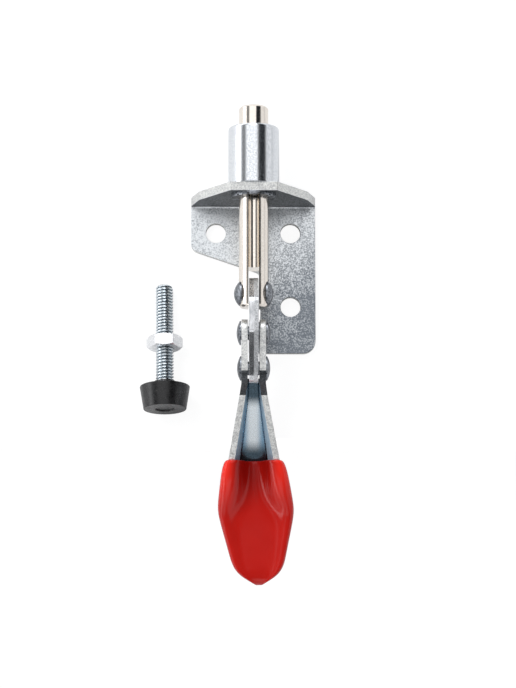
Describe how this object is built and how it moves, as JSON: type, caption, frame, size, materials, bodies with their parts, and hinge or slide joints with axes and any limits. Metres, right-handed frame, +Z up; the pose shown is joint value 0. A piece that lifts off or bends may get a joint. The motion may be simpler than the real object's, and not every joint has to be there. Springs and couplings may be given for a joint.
{
  "type": "push-pull toggle clamp",
  "caption": "Push-pull toggle clamp: a straight plunger in a barrel on a folded base, driven by a channel handle with a dipped grip, next to its loose rubber-tipped spindle.",
  "frame": {"origin": "on the bottom face of the base, midway between the two front mounting holes", "axes": "+Y along the plunger towards its nose, +X towards the long side of the base, +Z up from the mounting face"},
  "size_m": [0.0391, 0.1044, 0.0313],
  "materials": {
    "zinc_sheet": "bright zinc plated sheet steel with a fine spangle",
    "zinc_barrel": "bright zinc plated, turned",
    "nickel_bar": "nickel plated bar, drawn",
    "blanked_steel": "zinc plated, blanked edge",
    "rivet_steel": "zinc plated, formed heads",
    "zinc_screw": "bright zinc plated",
    "red_vinyl": "dipped, glossy",
    "black_rubber": "moulded, satin"
  },
  "bodies": {
    "base": {"base_plate": "zinc_sheet", "guide_barrel": "zinc_barrel", "pivot_rivet": "rivet_steel", "spindle_screw": "zinc_screw", "rubber_tip": "black_rubber"},
    "handle": {"handle_channel": "zinc_sheet", "handle_grip": "red_vinyl", "link_rivet": "rivet_steel"},
    "link": {"link": "blanked_steel"},
    "plunger": {"plunger": "nickel_bar", "plunger_rivet": "rivet_steel"},
    "lock_nut": {"lock_nut": "zinc_screw"}
  },
  "joints": [
    {"name": "handle_swing", "type": "hinge", "parent": "base", "child": "handle", "pos_m": [0, -0.0245, 0.0145], "axis": [-1, 0, 0], "range_deg": [0, 180]},
    {"name": "link_turn", "type": "hinge", "parent": "handle", "child": "link", "pos_m": [0, -0.0322, 0.0145], "axis": [-1, 0, 0], "range_deg": [-180, 0]},
    {"name": "plunger_slide", "type": "slide", "parent": "base", "child": "plunger", "axis": [0, 1, 0], "range_m": [0, 0.0155]},
    {"name": "nut_travel", "type": "slide", "parent": "base", "child": "lock_nut", "axis": [-0.0172, 0.9877, -0.1553], "range_m": [-0.007, 0.01]}
  ],
  "couplings": [
    {"joint": "link_turn", "follows": "handle_swing", "ratio": -1},
    {"joint": "plunger_slide", "follows": "handle_swing", "m_per_rad": 0.004902}
  ]
}
